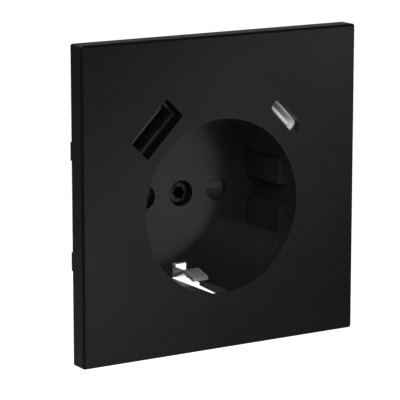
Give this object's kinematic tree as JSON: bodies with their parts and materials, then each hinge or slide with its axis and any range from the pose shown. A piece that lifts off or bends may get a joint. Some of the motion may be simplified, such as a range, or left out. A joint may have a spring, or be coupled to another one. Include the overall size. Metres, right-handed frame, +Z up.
{
  "type": "wall outlet",
  "caption": "Flush-mounted earthed wall outlet with a round recessed socket, shuttered pin holes and two angled USB charging ports in a square black cover",
  "frame": {"origin": "midway between the support frame's two box-screw slots, on the wall's surface", "axes": "X to the right seen from the front, Y into the wall, Z up"},
  "size_m": [0.07, 0.0401, 0.07],
  "materials": {
    "black_plastic": "fine matt moulded surface",
    "shutter_black": "smooth moulded surface",
    "white_plastic": "smooth moulded surface",
    "grey_plastic": "smooth moulded surface",
    "port_black": "smooth moulded surface",
    "port_white": "smooth moulded surface",
    "steel": "zinc-plated sheet",
    "port_steel": "bright nickel plated",
    "port_dark": "dark nickel plated",
    "screw_black": "black zinc plated",
    "screw_steel": "bright plated",
    "spring_steel": "bright wire and strip",
    "contact_brass": "plain stamped",
    "plated_brass": "nickel-plated",
    "gilt": "gilt",
    "board_green": "solder-resist lacquer",
    "ferrite": "sintered",
    "winding_tape": "polyester tape",
    "capacitor_sleeve": "shrink sleeve",
    "chip_black": "moulded",
    "lead_brown": "insulation",
    "lead_blue": "insulation",
    "release_orange": "smooth moulded surface",
    "release_blue": "smooth moulded surface",
    "release_green": "smooth moulded surface"
  },
  "bodies": {
    "base": {"support_frame": "steel", "frame_screws": "screw_steel", "contact_lid": "grey_plastic", "contact_base": "white_plastic", "base_screws": "screw_steel", "cover_nut": "screw_steel", "line_contact": "contact_brass", "neutral_contact": "contact_brass", "earth_strap": "plated_brass", "line_clamps": "spring_steel", "neutral_clamps": "spring_steel", "earth_clamps": "spring_steel", "usb_holder": "white_plastic", "usb_board": "board_green", "usb_a_shell": "port_dark", "usb_a_insulator": "port_black", "usb_a_contacts": "gilt", "usb_c_shell": "port_steel", "usb_c_insulator": "port_white", "usb_c_contacts": "gilt", "charger_cap": "white_plastic", "charger_screws": "screw_steel", "transformer_core": "ferrite", "transformer_winding": "winding_tape", "input_capacitor": "capacitor_sleeve", "output_capacitor": "capacitor_sleeve", "controller_chip": "chip_black", "line_lead": "lead_brown", "neutral_lead": "lead_blue"},
    "cover": {"cover_plate": "black_plastic", "socket_well": "black_plastic", "shutter_guide": "white_plastic", "shutter_spring_left": "spring_steel", "shutter_spring_right": "spring_steel"},
    "cover_screw": {"cover_screw": "screw_black", "cover_screw_ring": "screw_steel"},
    "shutter": {"shutter_slider": "shutter_black"},
    "claw_left": {"claw_left": "steel"},
    "claw_screw_left": {"claw_screw_left": "screw_steel"},
    "claw_nut_left": {"claw_nut_left": "screw_steel"},
    "claw_right": {"claw_right": "steel"},
    "claw_screw_right": {"claw_screw_right": "screw_steel"},
    "claw_nut_right": {"claw_nut_right": "screw_steel"},
    "line_release": {"line_release": "release_orange"},
    "neutral_release": {"neutral_release": "release_blue"},
    "earth_release": {"earth_release": "release_green"}
  },
  "joints": [
    {"name": "cover_lift", "type": "slide", "parent": "base", "child": "cover", "axis": [0, -1, 0], "range_m": [0, 0.034]},
    {"name": "cover_screw_turn", "type": "hinge", "parent": "cover", "child": "cover_screw", "pos_m": [0, 0.015, -0.00295], "axis": [0, 1, 0], "continuous": true},
    {"name": "shutter_slide", "type": "slide", "parent": "cover", "child": "shutter", "axis": [0, 0, 1], "range_m": [0, 0.0062], "stiffness_N_per_m": 120, "springref_m": -0.004, "deforming": ["shutter_spring_left", "shutter_spring_right"]},
    {"name": "claw_screw_right_turn", "type": "hinge", "parent": "base", "child": "claw_screw_right", "pos_m": [0.02725, 0.003, -0.00295], "axis": [0, 1, 0], "range_deg": [0, 732]},
    {"name": "claw_right_swing", "type": "hinge", "parent": "base", "child": "claw_right", "pos_m": [0.02425, 0.002, -0.00295], "axis": [0, 0, -1], "range_deg": [0, 21.9]},
    {"name": "claw_nut_right_draw", "type": "slide", "parent": "base", "child": "claw_nut_right", "axis": [0, -1, 0], "range_m": [0, 0.000914]},
    {"name": "claw_screw_left_turn", "type": "hinge", "parent": "base", "child": "claw_screw_left", "pos_m": [-0.02725, 0.003, -0.00295], "axis": [0, 1, 0], "range_deg": [0, 732]},
    {"name": "claw_left_swing", "type": "hinge", "parent": "base", "child": "claw_left", "pos_m": [-0.02425, 0.002, -0.00295], "axis": [0, 0, 1], "range_deg": [0, 21.9]},
    {"name": "claw_nut_left_draw", "type": "slide", "parent": "base", "child": "claw_nut_left", "axis": [0, -1, 0], "range_m": [0, 0.000914]},
    {"name": "line_release_press", "type": "slide", "parent": "base", "child": "line_release", "axis": [0, -1, 0], "range_m": [0, 0.0012], "stiffness_N_per_m": 600, "springref_m": -0.001},
    {"name": "neutral_release_press", "type": "slide", "parent": "base", "child": "neutral_release", "axis": [0, -1, 0], "range_m": [0, 0.0012], "stiffness_N_per_m": 600, "springref_m": -0.001},
    {"name": "earth_release_press", "type": "slide", "parent": "base", "child": "earth_release", "axis": [0, -1, 0], "range_m": [0, 0.0012], "stiffness_N_per_m": 600, "springref_m": -0.001}
  ],
  "couplings": [
    {"joint": "claw_screw_right_turn", "follows": "claw_right_swing", "ratio": 33.379},
    {"joint": "claw_nut_right_draw", "follows": "claw_right_swing", "m_per_rad": 0.0023782},
    {"joint": "claw_screw_left_turn", "follows": "claw_left_swing", "ratio": 33.379},
    {"joint": "claw_nut_left_draw", "follows": "claw_left_swing", "m_per_rad": 0.0023782}
  ]
}
